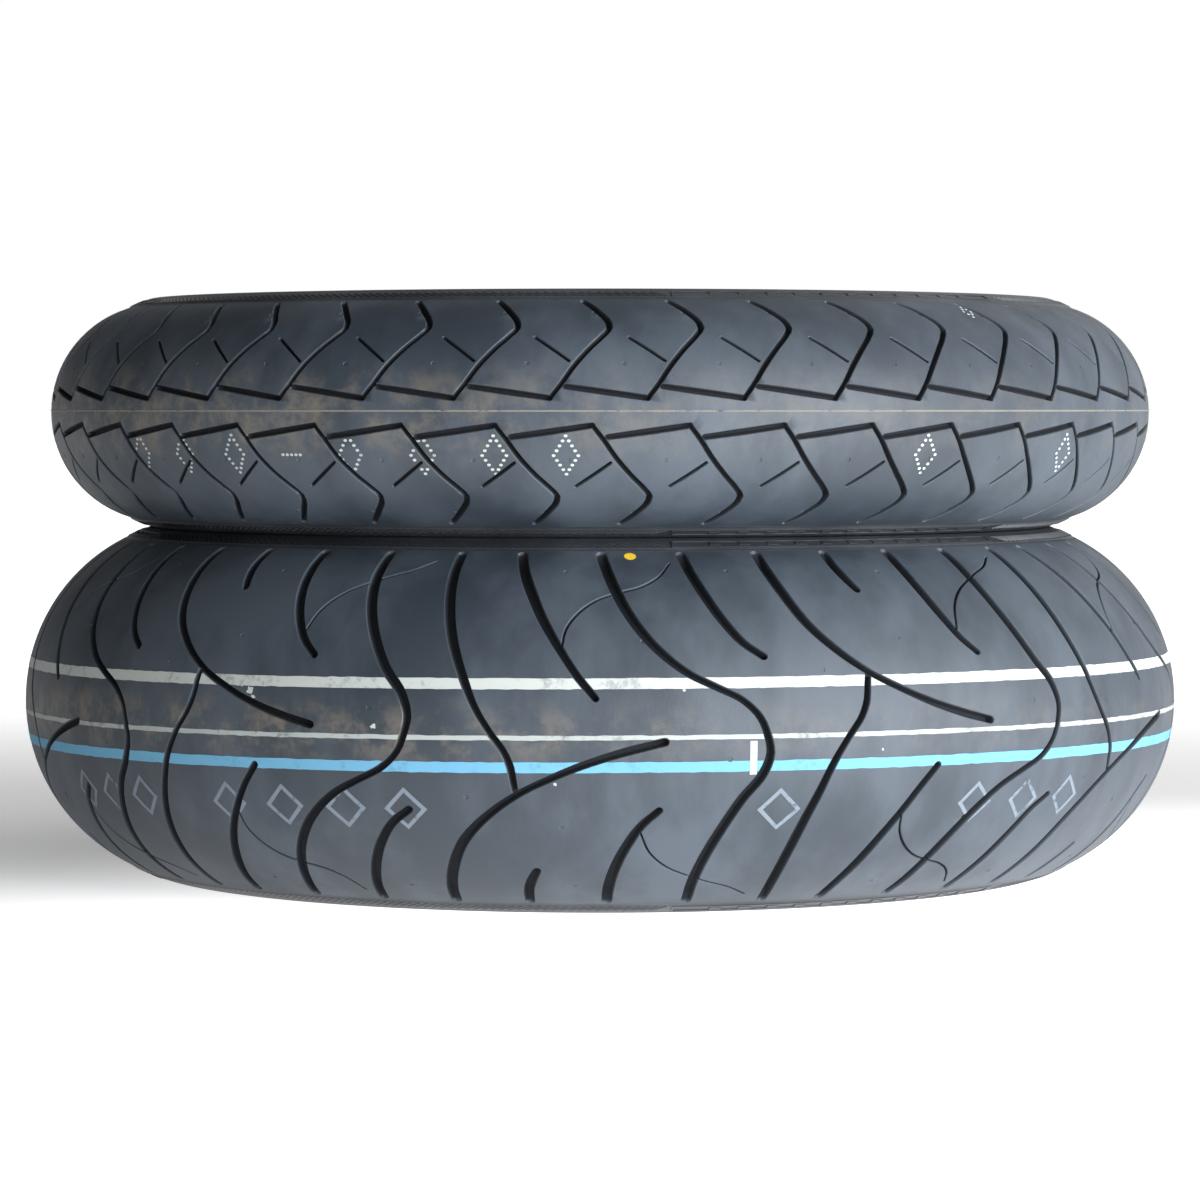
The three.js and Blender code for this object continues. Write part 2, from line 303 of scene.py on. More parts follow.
class Section:
    """The crown of one tire: an arc from tread edge to tread edge."""

    def __init__(self, tire):
        outline = section_outline(f"{tire}_tread")
        radius, height = outline[:, 0], outline[:, 1]
        self.tire = tire
        self.body = f"{tire}_tire"
        self.pattern = PATTERNS[tire]
        self.centre = (height.max() + height.min()) / 2
        self.crown_radius = radius.max()
        edge_height = (height.max() - height.min()) / 2
        edge_radius = radius[height > height.max() - 1e-5].max()
        drop = self.crown_radius - edge_radius
        self.arc_radius = (edge_height**2 + drop**2) / (2 * drop)
        self.edge_angle = math.atan2(edge_height, self.arc_radius - drop)
        self.half_arc = self.arc_radius * self.edge_angle / MM
        self.per_degree = math.radians(self.crown_radius) / MM
        self.around = 360 * self.per_degree
        self.pitch = self.around / self.pattern["repeats"]

    def swell(self, across):
        """How much the pattern's pitch grows at the camera's side, and shrinks behind."""
        middle, tilt = self.pattern["variation"]
        return middle + tilt * across / self.half_arc

    def turn(self, along, across):
        """The angle round the tire, in radians, of a point on the tread rolled out flat."""
        even = np.radians(along / self.per_degree)
        start = math.radians(self.pattern["start"])
        return even + self.swell(across) * np.sin(even) + start

    def along(self, degrees, across):
        """The reverse of turn: how far along the flat tread an angle round the tire is."""
        wanted = math.radians(degrees - self.pattern["start"])
        even = wanted
        for _ in range(8):
            even = wanted - self.swell(across) * math.sin(even)
        return math.degrees(even) * self.per_degree

    def surface(self, flat, lift=0.0):
        """Places on the tread of points (along, across) on the flat tread, and lifts in mm."""
        turn = self.turn(flat[:, 0], flat[:, 1])
        tilt = flat[:, 1] * MM / self.arc_radius
        arc = self.arc_radius + lift * MM
        radius = self.crown_radius - self.arc_radius + arc * np.cos(tilt)
        height = self.centre + arc * np.sin(tilt)
        return np.stack([radius * np.sin(turn), -radius * np.cos(turn), height], axis=-1)


class Side:
    """The outside of a sidewall, from the flat band it rests on to the edge of the tread."""

    def __init__(self, section, side):
        self.sign = SIDES[side]
        self.centre = section.centre
        outline = section_outline(f"{section.tire}_sidewall_{side}")
        reach = self.sign * (outline[:, 1] - section.centre)
        on_band = outline[reach > reach.max() - 1e-5][:, 0]
        self.band = (on_band.min(), on_band.max())
        smooth = smooth_outline(outline, 1 * MM)
        reach = self.sign * (smooth[:, 1] - section.centre)
        self.edge = smooth[:, 0].max()
        edge_reach = reach[np.argmax(smooth[:, 0])]
        outer = (reach >= edge_reach - 1e-5) & (smooth[:, 0] >= self.band[0])
        order = np.argsort(smooth[outer, 0])
        self.radii = smooth[outer, 0][order]
        self.reaches = reach[outer][order]

    def surface(self, flat, lift=0.0):
        """Places on the sidewall of points (degrees, mm from the axis), and lifts in mm."""
        turn = np.radians(flat[:, 0])
        radius = flat[:, 1] * MM
        reach = np.interp(radius, self.radii, self.reaches)
        slope = (np.interp(radius + MM, self.radii, self.reaches) - reach) / MM
        size = np.sqrt(1 + slope**2)
        radius = radius - slope / size * lift * MM
        height = self.centre + self.sign * (reach + lift * MM / size)
        return np.stack([radius * np.sin(turn), -radius * np.cos(turn), height], axis=-1)


# --- Thin plates on curved surfaces ---


def inside(points, loops):
    """Which points lie inside the loops. A loop within a loop is a hole."""
    hit = np.zeros(len(points), bool)
    x, y = points[:, :1], points[:, 1:]
    for loop in loops:
        a, b = loop, np.roll(loop, -1, axis=0)
        rise = np.where(a[:, 1] == b[:, 1], 1e-12, b[:, 1] - a[:, 1])
        spans = (a[:, 1] > y) != (b[:, 1] > y)
        left_of = x < (b[:, 0] - a[:, 0]) * (y - a[:, 1]) / rise + a[:, 0]
        hit ^= (spans & left_of).sum(axis=1) % 2 == 1
    return hit


def triangulate(loops, free=()):
    """Triangles that keep to every loop's edges. Gives the points and the triangles."""
    points, edges = [], []
    for loop in loops:
        first, count = len(points), len(loop)
        points.extend(Vector(p) for p in loop)
        edges.extend((first + i, first + (i + 1) % count) for i in range(count))
    points.extend(Vector(p) for p in free)
    flat, _, triangles, *_ = geometry.delaunay_2d_cdt(points, edges, [], 0, 1e-4)
    return np.array([tuple(p) for p in flat]), np.array([tuple(t) for t in triangles])


class Plates:
    """Thin solids that lie on a curved surface, drawn as outlines on the surface laid flat."""

    def __init__(self, surface, top, bottom, step):
        self.surface = surface
        self.top = top
        self.bottom = bottom
        self.step = step
        self.vertices = []
        self.faces = []

    def add(self, loops, cutters=(), is_cut=None):
        loops = [divided(loop, self.step) for loop in loops]
        flat, triangles = triangulate([*loops, *cutters])
        middle = flat[triangles].mean(axis=1)
        keep = inside(middle, loops)
        if is_cut:
            keep[keep] = ~is_cut(middle[keep])
        used, triangles = np.unique(triangles[keep], return_inverse=True)
        self.add_patch(flat[used], triangles.reshape(-1, 3))

    def add_patch(self, flat, triangles):
        first, count = len(self.vertices), len(flat)
        self.vertices.extend(self.surface(flat, self.top))
        self.vertices.extend(self.surface(flat, self.bottom))
        edges = {}
        for a, b, c in triangles + first:
            self.faces.append((a, b, c))
            self.faces.append((c + count, b + count, a + count))
            for start, end in ((a, b), (b, c), (c, a)):
                if edges.pop((end, start), None) is None:
                    edges[(start, end)] = True
        for a, b in edges:
            self.faces.append((b, a, a + count, b + count))

    def build(self, name, body, slot, material):
        piece = new_object(name, self.vertices, self.faces, body, material)
        shade(piece)
        return piece


def divided(loop, step):
    """The same outline with its long edges cut into steps, so that it can follow a curve."""
    out = []
    for start, end in zip(loop, np.roll(loop, -1, axis=0)):
        count = max(1, math.ceil(np.linalg.norm(end - start) / step))
        out.extend(start + (end - start) * i / count for i in range(count))
    return np.array(out)


def disc(centre, width, height=None, sides=10):
    turn = np.linspace(0, 2 * math.pi, sides, endpoint=False)
    size = np.array([width, height or width]) / 2
    return np.array(centre) + size * np.stack([np.cos(turn), np.sin(turn)], axis=1)


def rectangle(centre, width, height):
    size = np.array([width, height]) / 2
    return np.array(centre) + size * np.array([(-1, -1), (1, -1), (1, 1), (-1, 1)])


# --- Grooves ---


def wall_run(half_width):
    """How far the walls lean in, in mm. Narrow grooves have steeper walls."""
    return np.minimum(WALL_RUN, 0.6 * half_width)


class Groove:
    """A groove's centre line and half widths in mm, on the tread rolled out flat."""

    def __init__(self, line, half_width, depth):
        self.line = line
        self.half_width = half_width
        self.depth = depth

    def moved(self, along):
        return Groove(self.line + (along, 0), self.half_width, self.depth)

    def mirrored(self, along, centre):
        return Groove(self.line * (1, -1) + (along, 2 * centre), self.half_width, self.depth)

    def outline(self, inset):
        """The closed outline of the groove, in from its edge by an inset."""
        half = np.maximum(self.half_width - inset, NARROWEST)
        if len(self.line) == 1:
            return disc(self.line[0], 2 * half[0], sides=8)
        along = np.gradient(self.line, axis=0)
        along /= np.linalg.norm(along, axis=1)[:, None]
        side = np.stack([-along[:, 1], along[:, 0]], axis=1)
        bend = np.linspace(-math.pi / 2, math.pi / 2, 6)[1:-1]

        def cap(i, direction):
            out = np.outer(np.cos(bend), direction * along[i])
            across = np.outer(np.sin(bend), direction * side[i])
            return self.line[i] + half[i] * (out + across)

        left = self.line + side * half[:, None]
        right = self.line - side * half[:, None]
        return np.vstack([right, cap(-1, 1), left[::-1], cap(0, -1)])

    def depth_at(self, points):
        """How deep this groove cuts at each point."""
        if len(self.line) == 1:
            distance = np.linalg.norm(points - self.line[0], axis=1)
            half = np.full(len(points), self.half_width[0])
        else:
            start, step = self.line[:-1], np.diff(self.line, axis=0)
            offset = points[:, None, :] - start[None]
            share = (offset * step).sum(axis=2) / (step**2).sum(axis=1)
            share = np.clip(share, 0, 1)
            gap = np.linalg.norm(offset - share[..., None] * step, axis=2)
            widths = self.half_width[:-1] + share * np.diff(self.half_width)
            nearest = np.argmin(gap - widths, axis=1)
            rows = np.arange(len(points))
            distance = gap[rows, nearest]
            half = widths[rows, nearest]
        within = half - distance
        lip = np.clip((within + LIP) / LIP, 0, 1) * LIP
        wall = np.clip(within / wall_run(half), 0, 1)
        return np.where(within < 1e-4, lip, LIP + wall * (self.depth - LIP))


def pattern_grooves(section):
    """Every groove of one pitch, both sides, on the tread rolled out flat."""
    pattern = section.pattern
    per_listed = section.pitch / pattern["listed_pitch"]
    limit = section.half_arc - EDGE_MARGIN
    grooves = []

    def add(points, depth):
        table = np.array(points, float)
        at_edge = np.abs(table[:, 1]) == EDGE
        table[at_edge, 1] = np.sign(table[at_edge, 1]) * limit
        table[:, 0] *= per_listed
        curve = spline(table, CURVE_STEP)
        grooves.append(Groove(curve[:, :2], curve[:, 2] / 2, depth))

    for points in pattern["grooves"].values():
        add(points, pattern["groove_depth"])
    for points in pattern["sipes"].values():
        add(points, pattern["sipe_depth"])
    for degrees, across in pattern["vents"]:
        spot = np.array([[degrees * per_listed, across]])
        grooves.append(Groove(spot, np.array([VENT_WIDTH / 2]), VENT_DEPTH))
    shift = pattern["mirror_shift"] * section.pitch
    return grooves + [g.mirrored(shift, pattern["mirror_centre"]) for g in grooves]


def grooves_between(section, grooves, low, high):
    """The grooves of every pitch that reach into a stretch of the flat tread."""
    first = math.floor(low / section.pitch) - 2
    last = math.ceil(high / section.pitch) + 2
    found = []
    for k in range(first, last + 1):
        for groove in grooves:
            moved = groove.moved(k * section.pitch)
            line = moved.line[:, 0]
            if line.max() > low - GROOVE_REACH and line.min() < high + GROOVE_REACH:
                found.append(moved)
    return found


def tread_depth(section, grooves, points):
    """Depth below the tread's surface at points on the tread rolled out flat."""
    depth = np.zeros(len(points))
    for groove in grooves:
        reach = groove.half_width.max() + 2
        low = groove.line.min(axis=0) - reach
        high = groove.line.max(axis=0) + reach
        near = np.flatnonzero(((points > low) & (points < high)).all(axis=1))
        if len(near):
            depth[near] = np.maximum(depth[near], groove.depth_at(points[near]))
    to_edge = section.half_arc - np.abs(points[:, 1])
    return depth * np.interp(to_edge, [1.0, EDGE_FADE], [0.25, 1])


# --- The tread ---


def tread_tile(section, grooves):
    """One pitch of the tread rolled out flat: points, depths and triangles."""
    width, limit = section.pitch, section.half_arc
    near = grooves_between(section, grooves, 0, width)
    loops = []
    for groove in near:
        loops.append(groove.outline(-LIP))
        loops.append(groove.outline(0))
        if len(groove.line) > 1:
            loops.append(groove.outline(wall_run(groove.half_width)))

    columns = round(360 / section.pattern["repeats"])
    rows = 2 * round(limit / section.pattern["grid"])
    xs = np.linspace(0, width, columns + 1)
    ys = np.linspace(-limit, limit, rows + 1)
    border = [(x, -limit) for x in xs[:-1]] + [(width, y) for y in ys[:-1]]
    border += [(x, limit) for x in xs[:0:-1]] + [(0, y) for y in ys[:0:-1]]
    loops.append(np.array(border))

    step = xs[1]
    free = [
        (x + (0.75 if j % 2 else 0.25) * step, y)
        for j, y in enumerate(ys[1:-1])
        for x in xs[:-1]
    ]
    free = np.array([p for p in free if p[0] < width - 0.2 * step])
    clear = np.ones(len(free), bool)
    for groove in near:
        gap = np.linalg.norm(free[:, None] - groove.line[None], axis=2).min(axis=1)
        clear &= gap > groove.half_width.max() + GROOVE_CLEARANCE

    flat, triangles = triangulate(loops, free[clear])
    middle = flat[triangles].mean(axis=1)
    within = (middle[:, 0] > 0) & (middle[:, 0] < width) & (np.abs(middle[:, 1]) < limit)
    used, triangles = np.unique(triangles[within], return_inverse=True)
    flat = flat[used]
    depth = tread_depth(section, near, flat)
    depth[np.abs(flat[:, 1]) > limit - 1e-3] = 0
    return flat, depth, triangles.reshape(-1, 3)


def build_tread(section, grooves, material):
    """The tread ring: the patterned surface outside, and a plain skin inside."""
    tile, depth, triangles = tread_tile(section, grooves)
    repeats = section.pattern["repeats"]
    flat = np.vstack([tile + (k * section.pitch, 0) for k in range(repeats)])
    depth = np.tile(depth, repeats)
    faces = np.vstack([triangles + k * len(tile) for k in range(repeats)])
    along = flat[:, 0].copy()
    along[along > section.around - 1e-3] = 0

    node = f"{section.tire}_tread"
    piece = new_object(
        f"{node}_ring", section.surface(flat, -depth), faces, section.body,
        material, node,
    )
    mesh = piece.data
    put_attribute(mesh, "groove", depth / section.pattern["groove_depth"])
    put_attribute(mesh, "across", flat[:, 1])
    put_attribute(mesh, "along", along)

    work = bmesh.new()
    work.from_mesh(mesh)
    bmesh.ops.remove_doubles(work, verts=work.verts, dist=SAME_PLACE * MM)
    close_inside(work, section)
    work.to_mesh(mesh)
    work.free()
    shade(piece, 28)


def put_attribute(mesh, name, values):
    attribute = mesh.attributes.new(name, "FLOAT", "POINT")
    attribute.data.foreach_set("value", np.asarray(values, np.float32))


def close_inside(work, section):
    """Joins the two edges of the tread with its inner skin."""
    along = work.verts.layers.float["along"]
    rims = {1: set(), -1: set()}
    for edge in work.edges:
        if edge.is_boundary:
            for vertex in edge.verts:
                rims[1 if vertex.co.z > section.centre else -1].add(vertex)
    low, high = (sorted(rims[side], key=lambda v: v[along]) for side in (-1, 1))
    if len(low) != len(high):
        raise ValueError(f"{section.tire} tread: its two edges differ, {len(low)}, {len(high)}")
    skin = inner_skin(section)
    places = np.array([v[along] for v in low])
    previous = low
    for i, (radius, height) in enumerate(skin):
        across = section.half_arc * (2 * (i + 1) / (len(skin) + 1) - 1)
        turn = section.turn(places, across)
        ring = [work.verts.new((radius * math.sin(a), -radius * math.cos(a), height)) for a in turn]
        join_rings(work, previous, ring)
        previous = ring
    join_rings(work, previous, high)


def join_rings(work, a, b):
    for i in range(len(a)):
        j = (i + 1) % len(a)
        work.faces.new((a[i], a[j], b[j], b[i]))


def inner_skin(section):
    """The tread's inner skin, (radius, height) from its lower edge to its upper edge."""
    outline = section_outline(f"{section.tire}_tread")
    rim = section.surface(np.array([[0, -section.half_arc], [0, section.half_arc]]))
    rim_radius = -rim[0, 1]
    middle = section.crown_radius - section.arc_radius
    low = int(np.argmin(outline[:, 1]))
    loop = np.roll(outline, -low, axis=0)
    high = int(np.argmax(loop[:, 1]))
    runs = (loop[1:high], loop[high + 1 :][::-1])
    mean_arc = [np.hypot(r[:, 0] - middle, r[:, 1] - section.centre).mean() for r in runs]
    skin = runs[int(np.argmin(mean_arc))]
    skin = np.array([p for p in skin if np.hypot(*(p - (rim_radius, p[1]))) > 1e-4])
    return spline(skin, 8 * MM)


# --- Paint on the tread ---

PAINT_TOP = 0.1  # mm above the rubber
PAINT_BOTTOM = -0.1
PAINT_STEP = 2.5  # mm, the longest edge of a mark
LINE_STEP = 4  # mm between points along a painted line
LINE_GAP = 3  # mm between a line's two ends
LINE_WOBBLE = 0.12  # mm, how uneven its edges are


class Paint:
    """Thin marks on one tread. They stop at the grooves."""

    def __init__(self, section, grooves):
        self.section = section
        self.grooves = grooves
        self.plates = Plates(section.surface, PAINT_TOP, PAINT_BOTTOM, PAINT_STEP)

    def add(self, loops):
        points = np.vstack(loops)
        low, high = points.min(axis=0), points.max(axis=0)
        near = [
            g
            for g in grooves_between(self.section, self.grooves, low[0], high[0])
            if g.line[:, 1].max() > low[1] - 4 and g.line[:, 1].min() < high[1] + 4
        ]
        cutters = [g.outline(-LIP) for g in near]
        self.plates.add(
            loops, cutters, lambda spots: tread_depth(self.section, near, spots) > 0.01
        )

    def spot(self, degrees, across):
        """A place on the flat tread from an angle round the tire."""
        return (self.section.along(degrees, across), across)

    def build(self, name, material):
        self.plates.build(name, self.section.body, "tread_rubber", material)


def painted_line(section, centre, width, seed):
    """The outline of a line of paint round the tread. It starts and ends behind the tire."""
    rng = np.random.default_rng(seed)
    count = round(section.around / LINE_STEP)
    half = (section.around - LINE_GAP) / 2
    along = np.linspace(-half, half, count)
    turn = section.turn(along, centre)
    bow, lean = section.pattern["line_bow"], section.pattern["line_lean"]
    middle = centre + lean * np.sin(turn) - bow * np.sin(turn) ** 2
    edges = [
        middle + side * width / 2 + rng.normal(0, LINE_WOBBLE, count).clip(-0.25, 0.25)
        for side in (-1, 1)
    ]
    low, high = (np.stack([along, edge], axis=1) for edge in edges)
    return np.vstack([low, high[::-1]])


def diamond(centre, width, height):
    size = np.array([width, height]) / 2
    return np.array(centre) + size * np.array([(0, -1), (1, 0), (0, 1), (-1, 0)])


def splash(centre, size, rng):
    """A drop of paint with an uneven edge."""
    turn = np.linspace(0, 2 * math.pi, 14, endpoint=False)
    reach = size / 2 * rng.uniform(0.55, 1.1, len(turn))
    return np.array(centre) + reach[:, None] * np.stack([np.cos(turn), np.sin(turn)], axis=1)


def paint_rear(section, grooves, materials):
    for name, paint, centre, width, seed in (
        ("upper_white_line", "white paint", 25.3, 5.4, 1),
        ("lower_white_line", "thin paint", -1.1, 2.3, 4),
        ("blue_line", "blue paint", -15.6, 5.3, 3),
    ):
        line = Paint(section, grooves)
        line.add([painted_line(section, centre, width, seed)])
        line.build(f"rear_{name}", materials[paint])

    rng = np.random.default_rng(11)
    drops = Paint(section, grooves)
    drops.add([rectangle(drops.spot(13.75, -11.4), 3.2, 16.6)])
    for degrees, across, size in (
        (-33.6, 19, 4.5), (-34.6, 22, 3.5), (-33.2, 15.5, 3.0), (-20.6, 3.2, 3.0),
        (-4.0, -24, 2.0), (-27.5, 42, 1.6), (7.5, 22, 1.6), (26.2, -9, 1.4),
    ):
        drops.add([splash(drops.spot(degrees, across), size, rng)])
    drops.build("rear_paint_marks", materials["white paint"])

    dot = Paint(section, grooves)
    dot.add([disc(dot.spot(3.2, 103.2), 6.5, 6.0, 20)])
    dot.build("rear_balance_dot", materials["yellow paint"])

    stamps = Paint(section, grooves)
    for degrees in (-60, -54.5, -49, -37, -30.5, -24, -18, 16.5, 37.5, 44, 50.5):
        place = stamps.spot(degrees, -38 - 3 * math.sin(math.radians(degrees)) ** 2)
        stamps.add([diamond(place, 21, 23), diamond(place, 15.5, 17.5)])
    stamps.build("rear_stamp_outlines", materials["faint paint"])


def paint_front(section, grooves, materials):
    dots = Paint(section, grooves)
    for degrees, across, columns in (
        (-52, -21, 3), (-45, -21, 3), (-38, -21, 3), (-31, -21, 0), (-24.5, -21, 3),
        (-17, -21, 3), (-10, -21, 3), (-3.2, -21, 3), (33, -21, 3), (53, -21, 3), (43.5, 62, 1),
    ):
        middle = dots.spot(degrees, across)
        for offset in dotted_mark(columns):
            dots.add([disc(np.array(middle) + offset, 1.9, 1.5, 8)])
    dots.build("front_dotted_marks", materials["white paint"])


def dotted_mark(columns):
    """The dots of a plain mark: a diamond of dots, or a short row of them."""
    if not columns:
        return [(2.6 * i, 0) for i in (-2, -1, 0, 1, 2)]
    steps = columns + 1
    corners = [(0, 1), (1, 0), (0, -1), (-1, 0), (0, 1)]
    dots = []
    for (x0, y0), (x1, y1) in zip(corners, corners[1:]):
        for i in range(steps):
            share = i / steps
            dots.append((x0 + (x1 - x0) * share, y0 + (y1 - y0) * share))
    return [(1.5 * steps * x, 2.5 * steps * y) for x, y in dots]


def build_mould_line(section, material):
    """The fine ridge that the mould's joint leaves round the front tread."""
    across = section.pattern["mirror_centre"] + 0.4
    corners = np.array([[0, across - 0.6], [0, across], [0, across + 0.6]])
    lifts = np.array([-0.2, 0.3, -0.2])
    places = section.surface(corners, lifts)
    outline = np.stack([np.hypot(places[:, 0], places[:, 1]), places[:, 2]], axis=1)
    vertices, faces = lathe(outline, 360)
    piece = new_object(
        f"{section.tire}_mould_line", vertices, faces, section.body, material
    )
    shade(piece)


# --- Rings ---


def outward(outline):
    """Unit vectors that point out of a closed outline, one at each point."""
    ahead, behind = np.roll(outline, -1, axis=0), np.roll(outline, 1, axis=0)
    step = ahead - behind
    step /= np.linalg.norm(step, axis=1)[:, None]
    area = (outline[:, 0] * ahead[:, 1] - ahead[:, 0] * outline[:, 1]).sum()
    return np.stack([step[:, 1], -step[:, 0]], axis=1) * math.copysign(1, area)


def lathe(outline, segments, relief=None):
    """Turns a closed outline round the wheel's axis. relief(turn, outline) raises it, in mm."""
    turns = np.linspace(0, 2 * math.pi, segments, endpoint=False)
    rings = np.broadcast_to(outline, (segments, *outline.shape))
    if relief:
        lift = relief(turns[:, None], outline) * MM
        rings = rings + lift[..., None] * outward(outline)
    turn = turns[:, None]
    radius = rings[..., 0]
    vertices = np.stack([radius * np.cos(turn), radius * np.sin(turn), rings[..., 1]], axis=-1)
    count = len(outline)
    near = np.arange(segments)[:, None] * count
    far = (np.arange(segments)[:, None] + 1) % segments * count
    j = np.arange(count)[None]
    k = (j + 1) % count
    faces = np.stack([near + j, far + j, far + k, near + k], axis=-1)
    return vertices.reshape(-1, 3), faces.reshape(-1, 4)


def with_rings(outline, marks):
    """Raises or sinks rings on an outline: (radius, height, mm raised, mm half width) each."""
    normal = outward(outline)
    lift = np.zeros(len(outline))
    for radius, height, raised, half_width in marks:
        spot = outline[np.argmin(np.hypot(outline[:, 0] - radius, outline[:, 1] - height))]
        gap = np.linalg.norm(outline - spot, axis=1) / MM
        lift += raised * 0.5 * (1 + np.cos(np.pi * np.clip(gap / half_width, 0, 1)))
    return outline + normal * lift[:, None] * MM


def build_ring(node, material, outline, segments=192, relief=None):
    vertices, faces = lathe(outline, segments, relief)
    body = node.split("_")[0] + "_tire"
    shade(new_object(f"{node}_ring", vertices, faces, body, material, node))


def build_sidewall(section, side, material):
    node = f"{section.tire}_sidewall_{side}"
    outside = Side(section, side)
    outline = smooth_outline(section_outline(node), 0.75 * MM, 0.4 * MM)
    sign, centre = outside.sign, section.centre
    rest = outside.reaches.max()
    strip = np.abs(section_outline(f"{section.tire}_rim_strip_{side}")[:, 1] - centre).max()
    inner, outer = outside.band
    marks = []
    for radius, raised in (
        (inner + 2.2 * MM, -0.35),
        (outer - 2.2 * MM, -0.35),
        (outer + 3.6 * MM, 0.5),
        (outside.edge - 1.8 * MM, 0.5),
    ):
        reach = np.interp(radius, outside.radii, outside.reaches)
        marks.append((radius, centre + sign * reach, raised, 0.9))
    for share in (0.48, 0.66):
        marks.append((inner - 5 * MM, centre + sign * (rest - share * (rest - strip)), 0.6, 1.1))
    build_ring(node, material, with_rings(outline, marks))
    build_ribs(section, outside, side, material)
    build_plaques(section, outside, side, material)


PLAQUES = (30, 150, 270)  # degrees round the tire
PLAQUE_WIDTH = 44  # degrees
RIB_PITCH = 1.0  # degrees
RIB_SLANT = 2.4  # degrees
RIB_HALF_WIDTH = 0.2  # degrees


def rib_zone(outside):
    """The radii, in mm, that the ribs run between."""
    return outside.band[1] / MM + 4.9, outside.edge / MM - 3.0


def build_ribs(section, outside, side, material):
    """Fine slanting ribs between the sidewall's raised rings, left out at the plaques."""
    low, high = rib_zone(outside)
    shares = np.linspace(0, 1, 4)
    radii = low + (high - low) * shares
    vertices, faces = [], []
    for start in np.arange(0, 360, RIB_PITCH):
        middle = start + RIB_SLANT / 2
        if any(abs((middle - p + 180) % 360 - 180) < PLAQUE_WIDTH / 2 + 1.6 for p in PLAQUES):
            continue
        first = len(vertices)
        for radius, share in zip(radii, shares):
            angle = start + RIB_SLANT * share
            for offset, lift in ((-RIB_HALF_WIDTH, -0.3), (0, 0.45), (RIB_HALF_WIDTH, -0.3)):
                vertices.extend(outside.surface(np.array([[angle + offset, radius]]), lift))
        for k in range(len(radii) - 1):
            a, b = first + 3 * k, first + 3 * k + 3
            faces += [(a, a + 1, b + 1, b), (a + 1, a + 2, b + 2, b + 1), (a + 2, a, b, b + 2)]
        last = first + 3 * (len(radii) - 1)
        faces += [(first + 2, first + 1, first), (last, last + 1, last + 2)]
    name = f"{section.tire}_sidewall_ribs_{side}"
    shade(new_object(name, vertices, faces, section.body, material))


def build_plaques(section, outside, side, material):
    """Plain framed plaques with a direction arrow, bars and dots in place of lettering."""
    low, high = rib_zone(outside)
    middle, height = (low + high) / 2, high - low
    plates = Plates(outside.surface, 0.45, -0.3, 1.0)
    for place in PLAQUES:
        outer = rectangle((place, middle), PLAQUE_WIDTH, height)
        inner = rectangle((place, middle), PLAQUE_WIDTH - 0.5, height - 1.8)
        plates.add([outer, inner])
    tall = height - 3.6
    for i in range(11):
        plates.add([rectangle((PLAQUES[0] + 3.4 * (i - 5), middle), 1.3, tall)])
    shaft = rectangle((PLAQUES[1] - 2, middle), 16, 1.2)
    plates.add([shaft])
    head = np.array([(0, -tall / 2), (5, 0), (0, tall / 2)])
    plates.add([head + (PLAQUES[1] + 6.2, middle)])
    for i in range(13):
        plates.add([disc((PLAQUES[2] + 2.8 * (i - 6), middle), 0.5, 2.2, 12)])
    plates.build(
        f"{section.tire}_sidewall_plaques_{side}", section.body, "sidewall_rubber", material
    )


def build_rim_strip(section, side, material):
    node = f"{section.tire}_rim_strip_{side}"
    coarse = section_outline(node)
    face = coarse[np.argmax(np.abs(coarse[:, 1] - section.centre)), 1]
    heel = coarse[np.abs(coarse[:, 1] - face) < 1e-5][:, 0]
    marks = [
        (heel.min() + share * np.ptp(heel), face, -0.25, 0.7) for share in (0.3, 0.5, 0.7)
    ]
    outline = smooth_outline(coarse, 0.6 * MM, 0.9 * MM)
    build_ring(node, material, with_rings(outline, marks))


WIRE_WIDTH = 1.16 * MM


def build_core(section, side, material):
    """The bead core as a bundle of single wires."""
    node = f"{section.tire}_bead_core_{side}"
    outline = section_outline(node)
    low, size = outline.min(axis=0), np.ptp(outline, axis=0)
    counts = np.round(size / WIRE_WIDTH).astype(int)
    pitch = size / counts
    turn = np.linspace(0, 2 * math.pi, 6, endpoint=False)
    section_ring = np.stack([np.cos(turn), np.sin(turn)], axis=1) * pitch.min() / 2
    vertices, faces = [], []
    for i in range(counts[0]):
        for j in range(counts[1]):
            middle = low + pitch * (i + 0.5, j + 0.5)
            ring, quads = lathe(middle + section_ring, 144)
            faces.extend(quads + len(vertices))
            vertices.extend(ring)
    shade(
        new_object(f"{node}_wires", vertices, faces, section.body, material, node),
        70,
    )


CORD_SEGMENTS = 320
BLADDER_LINES = 80
BLADDER_SLANT = 130  # radians of a line's phase for each metre of height
BELT_CORD_DEPTH = 0.25  # mm
PLY_CORD_DEPTH = 0.2  # mm
BLADDER_LINE_HEIGHT = 0.35  # mm


